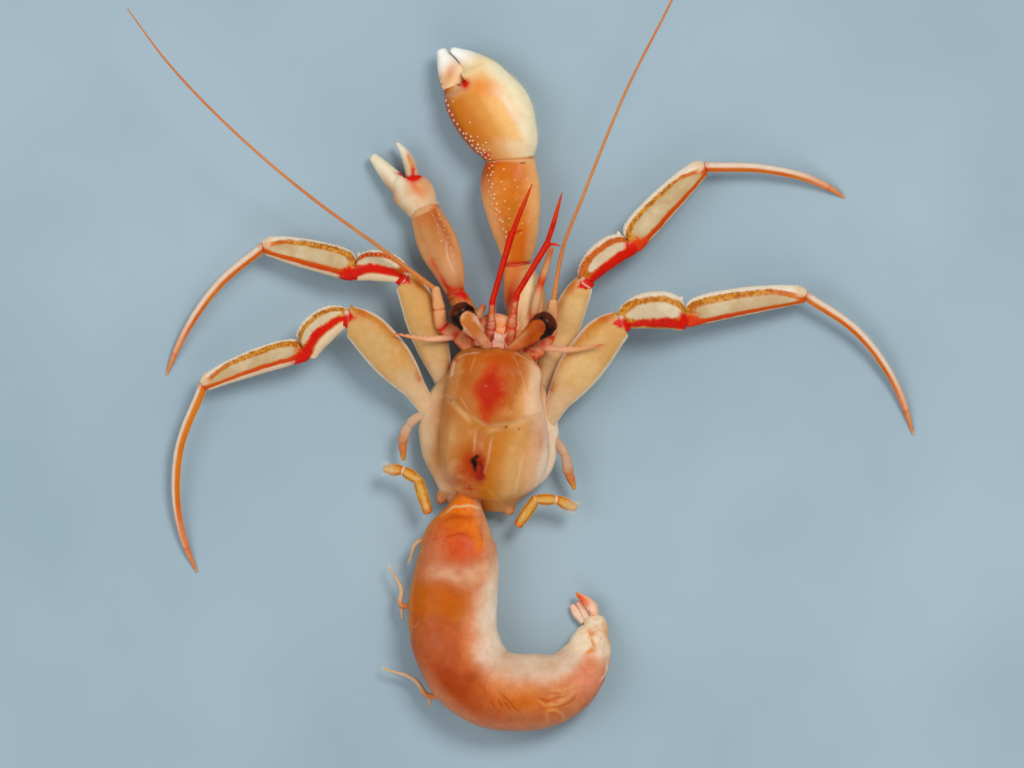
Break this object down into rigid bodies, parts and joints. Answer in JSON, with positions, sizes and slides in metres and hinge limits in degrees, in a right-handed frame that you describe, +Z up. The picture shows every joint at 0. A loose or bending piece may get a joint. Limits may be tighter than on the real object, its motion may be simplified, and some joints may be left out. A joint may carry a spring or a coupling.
{
  "type": "hermit crab model",
  "caption": "Life-size still model of a deep-water hermit crab out of its shell, lying on its belly with legs spread, a large right claw and a soft tail curled to one side.",
  "frame": {"origin": "on the floor plane, under the middle of the shield, at the flat of the belly", "axes": "+Z up through the back, +Y forward along the body's axis towards the head, +X towards the animal's right side, which carries the larger claw"},
  "size_m": [0.0703, 0.0692, 0.0082],
  "materials": {
    "shell_cream": "wet, translucent cream shell",
    "shell_amber": "wet amber shell with small tubercles",
    "leg_shell": "wet cream shell with red stripes",
    "soft_skin": "moist soft skin",
    "cornea": "glossy black-brown eye",
    "eyestalk": "wet orange-brown shell",
    "red_shell": "wet bright red shell",
    "feeler": "wet pale orange feeler"
  },
  "bodies": {
    "root": {"abdomen_1": "soft_skin", "abdomen_2": "soft_skin", "abdomen_3": "soft_skin", "abdomen_4": "soft_skin", "abdomen_5": "soft_skin", "abdomen_6": "soft_skin", "antenna_left_base": "feeler", "antenna_left_lash": "feeler", "antenna_right_base": "feeler", "antenna_right_lash": "feeler", "antennule_left_base": "feeler", "antennule_left_lash": "red_shell", "antennule_right_base": "feeler", "antennule_right_lash": "red_shell", "cheliped_left_carpus": "shell_amber", "cheliped_left_dactyl": "shell_cream", "cheliped_left_merus": "shell_cream", "cheliped_left_palm": "shell_cream", "cheliped_right_carpus": "shell_amber", "cheliped_right_dactyl": "shell_cream", "cheliped_right_merus": "shell_cream", "cheliped_right_palm": "shell_amber", "cornea_left": "cornea", "cornea_right": "cornea", "eyestalk_left": "eyestalk", "eyestalk_right": "eyestalk", "leg2_left_carpus": "leg_shell", "leg2_left_dactyl": "leg_shell", "leg2_left_merus": "leg_shell", "leg2_left_propodus": "leg_shell", "leg2_right_carpus": "leg_shell", "leg2_right_dactyl": "leg_shell", "leg2_right_merus": "leg_shell", "leg2_right_propodus": "leg_shell", "leg3_left_carpus": "leg_shell", "leg3_left_dactyl": "leg_shell", "leg3_left_merus": "leg_shell", "leg3_left_propodus": "leg_shell", "leg3_right_carpus": "leg_shell", "leg3_right_dactyl": "leg_shell", "leg3_right_merus": "leg_shell", "leg3_right_propodus": "leg_shell", "leg4_left": "leg_shell", "leg4_right": "leg_shell", "leg5_left_hand": "leg_shell", "leg5_left_merus": "leg_shell", "leg5_right_hand": "leg_shell", "leg5_right_merus": "leg_shell", "maxilliped_left": "feeler", "maxilliped_right": "feeler", "ocular_acicles": "eyestalk", "pleopod_2": "feeler", "pleopod_3": "feeler", "pleopod_4": "feeler", "shield": "shell_cream", "telson": "soft_skin", "thorax": "shell_cream", "uropod_left": "soft_skin", "uropod_right": "soft_skin"}
  },
  "joints": []
}
